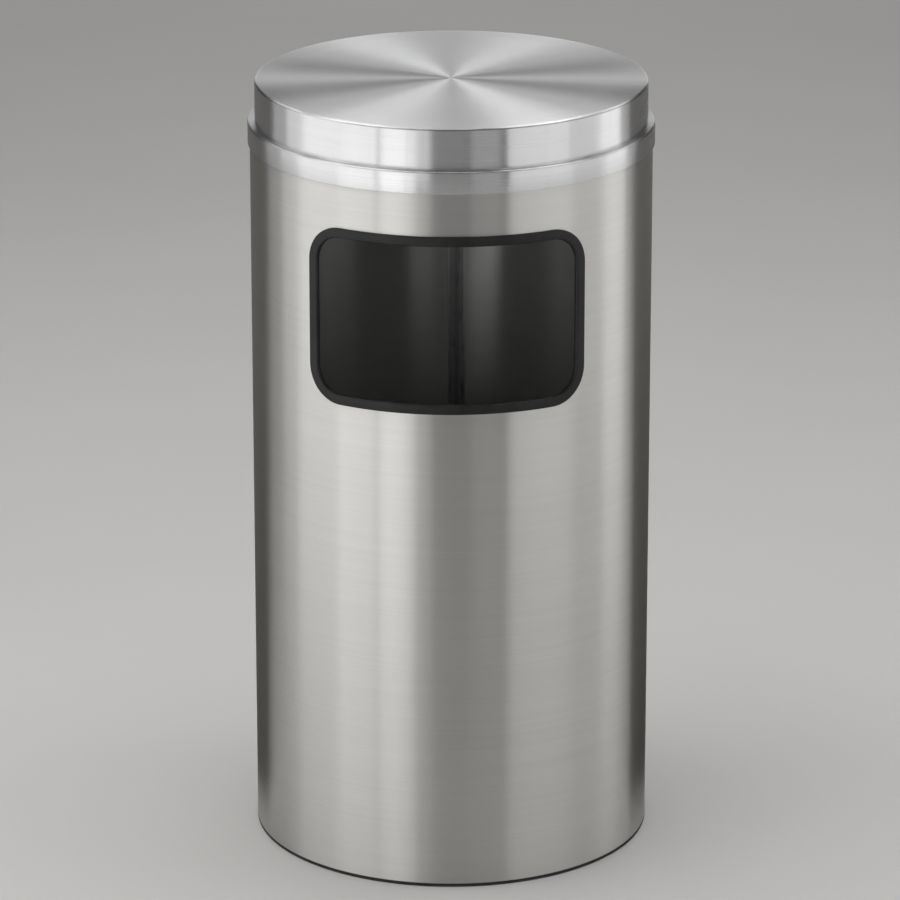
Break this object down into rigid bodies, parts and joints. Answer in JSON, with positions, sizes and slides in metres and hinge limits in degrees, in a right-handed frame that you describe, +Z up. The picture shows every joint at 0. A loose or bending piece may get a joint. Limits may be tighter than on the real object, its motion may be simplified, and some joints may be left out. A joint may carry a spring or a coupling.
{
  "type": "flat top waste receptacle",
  "caption": "Free-standing round waste receptacle: brushed metal body with a rubber-edged front opening, a lift-off flat spun cover and a lift-out galvanised liner with a bail.",
  "frame": {"origin": "on the floor, under the middle of the body", "axes": "+Z up along the body's axis; the waste opening faces -Y; +X to the right seen from the front"},
  "size_m": [0.3848, 0.3848, 0.7448],
  "materials": {
    "brushed_body": "satin, brushed round the body, with fine horizontal grain",
    "spun_cover": "satin, circular grain left by the lathe on the flat top, band and skirt",
    "mill_aluminium": "unbrushed mill sheet with light scuffs",
    "black_rubber": "smooth black extruded edging with a soft shine",
    "base_vinyl": "matt black",
    "galvanised_sheet": "hot-dip galvanised sheet with a faint spangle",
    "zinc_wire": "drawn wire, dull zinc coat",
    "zinc_pressing": "pressed steel, dull zinc coat"
  },
  "bodies": {
    "body": {"body_shell": "brushed_body", "seam_strap": "mill_aluminium", "opening_trim": "black_rubber", "base_pan": "mill_aluminium", "base_ring": "base_vinyl"},
    "cover": {"cover": "spun_cover"},
    "liner": {"liner_wall": "galvanised_sheet", "liner_bottom": "galvanised_sheet", "liner_rim_wire": "zinc_wire", "liner_ear_left": "zinc_pressing", "liner_ear_right": "zinc_pressing", "ear_rivets": "zinc_pressing"},
    "bail": {"bail": "zinc_wire"}
  },
  "joints": [
    {"name": "cover_lift", "type": "slide", "parent": "body", "child": "cover", "axis": [0, 0, 1], "range_m": [0, 1]},
    {"name": "liner_lift", "type": "slide", "parent": "body", "child": "liner", "axis": [0, 0, 1], "range_m": [0, 0.7]},
    {"name": "bail_swing", "type": "hinge", "parent": "liner", "child": "bail", "pos_m": [0, 0, 0.3408], "axis": [1, 0, 0], "range_deg": [0, 180]}
  ],
  "couplings": [
    {"joint": "liner_lift", "follows": "cover_lift", "ratio": 0.7}
  ]
}
